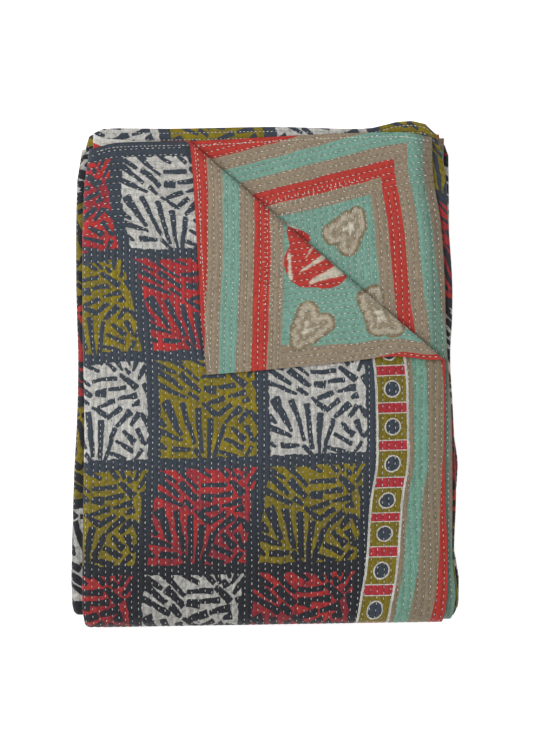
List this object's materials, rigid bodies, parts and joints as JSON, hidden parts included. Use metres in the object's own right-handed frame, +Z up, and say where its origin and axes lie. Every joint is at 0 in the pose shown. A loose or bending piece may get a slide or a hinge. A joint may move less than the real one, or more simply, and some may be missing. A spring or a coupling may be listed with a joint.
{
  "type": "folded kantha quilt",
  "caption": "Quilted cotton throw folded into a thick flat packet, the free corner of its top layer turned back over a diagonal crease; it rests on its lowest layer.",
  "frame": {"origin": "under the middle of the packet's outline, on the surface that its lowest layer lies on", "axes": "+X across the packet, from the folds on the left to the hem on the right; +Y along it, from the folds at the foot to the hems at the head; +Z up through the layers"},
  "size_m": [0.3998, 0.5238, 0.0436],
  "materials": {
    "face_print": "matt printed cotton",
    "backing_print": "matt printed cotton",
    "stitching": "matt cotton thread"
  },
  "bodies": {
    "root": {"quilt": "face_print"}
  },
  "joints": []
}
